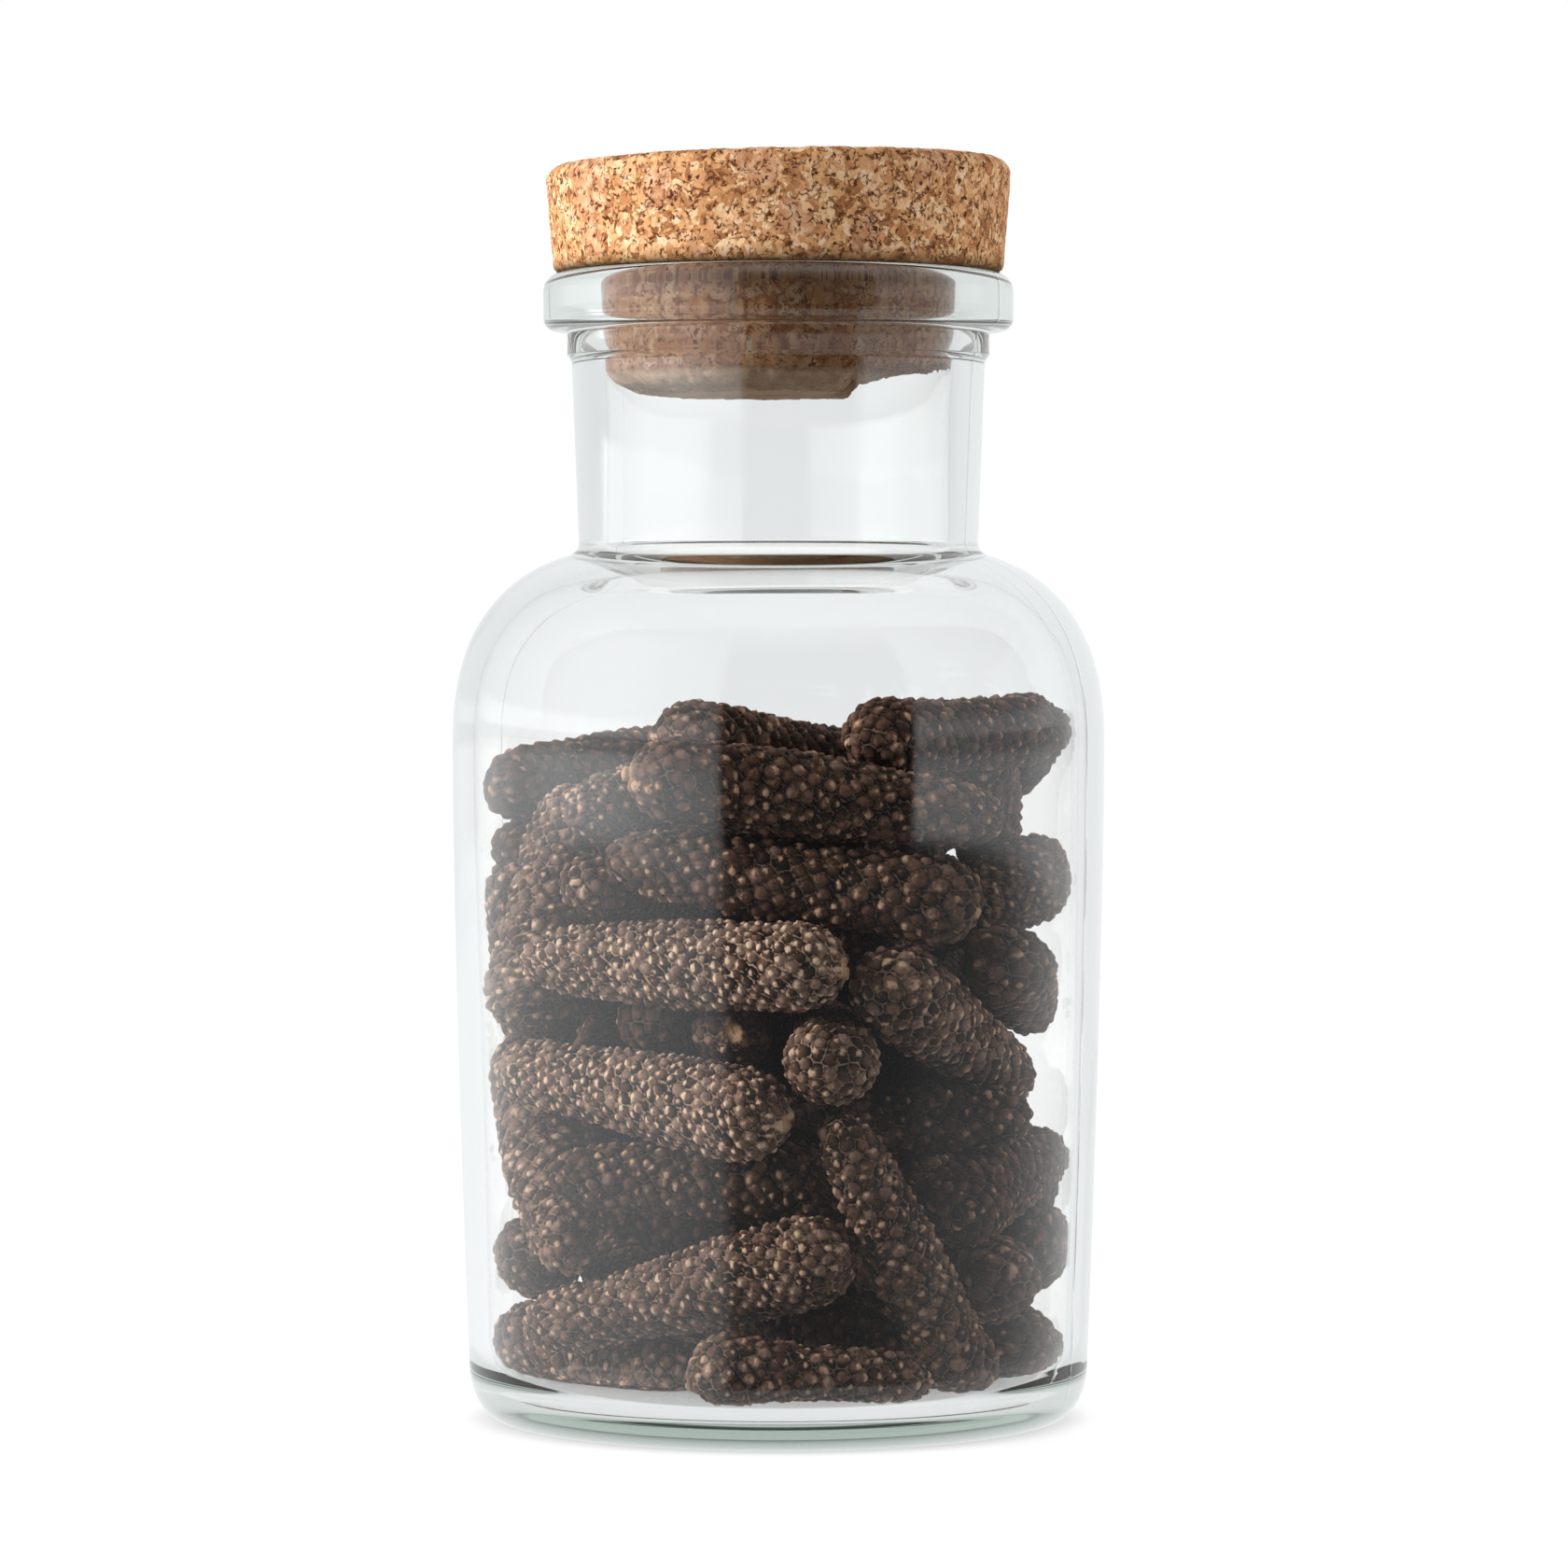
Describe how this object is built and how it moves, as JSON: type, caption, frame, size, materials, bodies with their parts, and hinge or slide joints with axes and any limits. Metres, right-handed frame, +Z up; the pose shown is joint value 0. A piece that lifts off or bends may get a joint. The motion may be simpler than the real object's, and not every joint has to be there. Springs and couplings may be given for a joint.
{
  "type": "glass jar with cork stopper",
  "caption": "Clear glass spice jar with a rounded shoulder, a wide neck and a one-piece cork stopper, filled with dried long-pepper pods.",
  "frame": {"origin": "middle of the jar's base, on the table", "axes": "+Z up along the jar's axis, +Y away from the side that the picture shows"},
  "size_m": [0.064, 0.064, 0.123],
  "materials": {
    "glass": "clear, smooth, slightly green in its thick parts",
    "cork": "matte pressed cork granules",
    "pepper": "dry and matte, covered in small bumps with tan tips"
  },
  "bodies": {
    "jar": {"jar": "glass", "pepper_pod_01": "pepper", "pepper_pod_02": "pepper", "pepper_pod_03": "pepper", "pepper_pod_04": "pepper", "pepper_pod_05": "pepper", "pepper_pod_06": "pepper", "pepper_pod_07": "pepper", "pepper_pod_08": "pepper", "pepper_pod_09": "pepper", "pepper_pod_10": "pepper", "pepper_pod_11": "pepper", "pepper_pod_12": "pepper", "pepper_pod_13": "pepper", "pepper_pod_14": "pepper", "pepper_pod_15": "pepper", "pepper_pod_16": "pepper", "pepper_pod_17": "pepper", "pepper_pod_18": "pepper", "pepper_pod_19": "pepper", "pepper_pod_20": "pepper", "pepper_pod_21": "pepper", "pepper_pod_22": "pepper", "pepper_pod_23": "pepper", "pepper_pod_24": "pepper", "pepper_pod_25": "pepper", "pepper_pod_26": "pepper", "pepper_pod_27": "pepper", "pepper_pod_28": "pepper", "pepper_pod_29": "pepper", "pepper_pod_30": "pepper", "pepper_pod_31": "pepper", "pepper_pod_32": "pepper", "pepper_pod_33": "pepper", "pepper_pod_34": "pepper", "pepper_pod_35": "pepper", "pepper_pod_36": "pepper", "pepper_pod_37": "pepper", "pepper_pod_38": "pepper", "pepper_pod_39": "pepper", "pepper_pod_40": "pepper", "pepper_pod_41": "pepper", "pepper_pod_42": "pepper", "pepper_pod_43": "pepper", "pepper_pod_44": "pepper", "pepper_pod_45": "pepper", "pepper_pod_46": "pepper", "pepper_pod_47": "pepper", "pepper_pod_48": "pepper", "pepper_pod_49": "pepper", "pepper_pod_50": "pepper", "pepper_pod_51": "pepper", "pepper_pod_52": "pepper", "pepper_pod_53": "pepper", "pepper_pod_54": "pepper", "pepper_pod_55": "pepper", "inner_pepper_pods": "pepper"},
    "stopper": {"stopper": "cork"}
  },
  "joints": [
    {"name": "stopper_pull", "type": "slide", "parent": "jar", "child": "stopper", "axis": [0, 0, 1], "range_m": [0, 0.016]}
  ]
}
